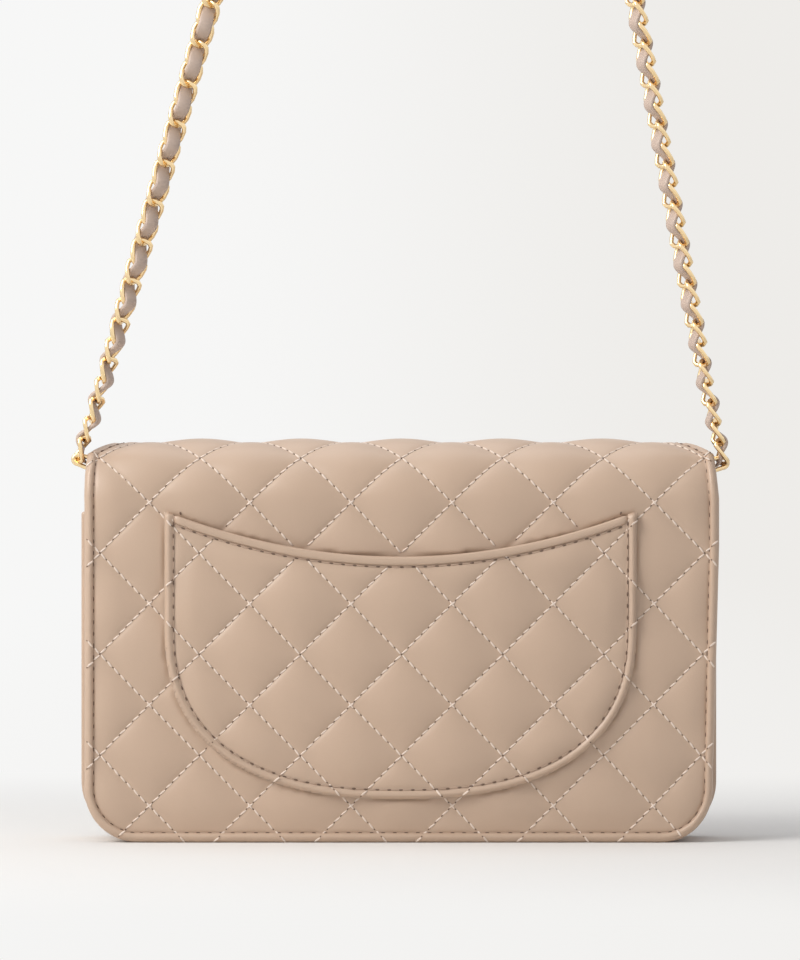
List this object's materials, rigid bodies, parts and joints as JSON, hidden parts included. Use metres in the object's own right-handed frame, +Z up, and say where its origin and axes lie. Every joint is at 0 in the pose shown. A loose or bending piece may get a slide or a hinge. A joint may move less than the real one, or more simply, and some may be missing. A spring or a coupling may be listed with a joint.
{
  "type": "quilted shoulder bag",
  "caption": "Quilted flap shoulder bag with a half-moon back pocket, a hinged flap, an inner zip pocket and a swinging chain strap laced with leather.",
  "frame": {"origin": "on the ground, under the middle of the bag's base", "axes": "+Z up, +X across the bag, -Y out of the back with the half-moon pocket, +Y out of the flap"},
  "size_m": [0.2006, 0.1022, 0.4681],
  "materials": {
    "quilted_leather": "smooth, softly padded, satin",
    "plain_leather": "smooth, satin",
    "lace_leather": "smooth, matt edges",
    "lining": "fine grained lining",
    "board": "pressed fibre stiffener",
    "zip_tape": "woven tape",
    "gold_metal": "polished, gold coloured"
  },
  "bodies": {
    "case": {"back_panel": "quilted_leather", "back_board": "board", "back_lining": "lining", "back_pocket": "quilted_leather", "back_pocket_binding": "plain_leather", "front_panel": "plain_leather", "front_lining": "lining", "gusset_left": "plain_leather", "gusset_right": "plain_leather", "base_panel": "plain_leather", "base_board": "board", "zip_pocket_rear": "lining", "zip_pocket_front": "lining", "zip_tape_rear": "zip_tape", "zip_tape_front": "zip_tape", "zip_teeth_rear": "gold_metal", "zip_teeth_front": "gold_metal", "zip_stop_left": "gold_metal", "zip_stop_right": "gold_metal", "card_slot_high": "lining", "card_slot_mid": "lining", "card_slot_low": "lining", "snap_socket": "gold_metal", "snap_washer": "gold_metal", "anchor_tab_left": "plain_leather", "anchor_tab_right": "plain_leather", "anchor_loop_left": "gold_metal", "anchor_loop_right": "gold_metal"},
    "flap": {"flap_panel": "quilted_leather", "flap_board": "board", "flap_lining": "lining", "snap_stud": "gold_metal"},
    "strap": {"chain_left": "gold_metal", "chain_top": "gold_metal", "chain_right": "gold_metal", "strap_lace": "lace_leather"},
    "slider": {"zip_slider": "gold_metal"},
    "pull": {"zip_pull": "gold_metal"}
  },
  "joints": [
    {"name": "flap_hinge", "type": "hinge", "parent": "case", "child": "flap", "pos_m": [0, 0, 0.1215], "axis": [1, 0, 0], "range_deg": [0, 135]},
    {"name": "strap_swing", "type": "hinge", "parent": "case", "child": "strap", "pos_m": [0, -0.007, 0.1153], "axis": [1, 0, 0], "range_deg": [0, 50]},
    {"name": "zip_slide", "type": "slide", "parent": "case", "child": "slider", "axis": [-1, 0, 0], "range_m": [0, 0.136]},
    {"name": "pull_turn", "type": "hinge", "parent": "slider", "child": "pull", "pos_m": [0.068, -0.0033, 0.1003], "axis": [0, 1, 0], "range_deg": [0, 180]}
  ]
}
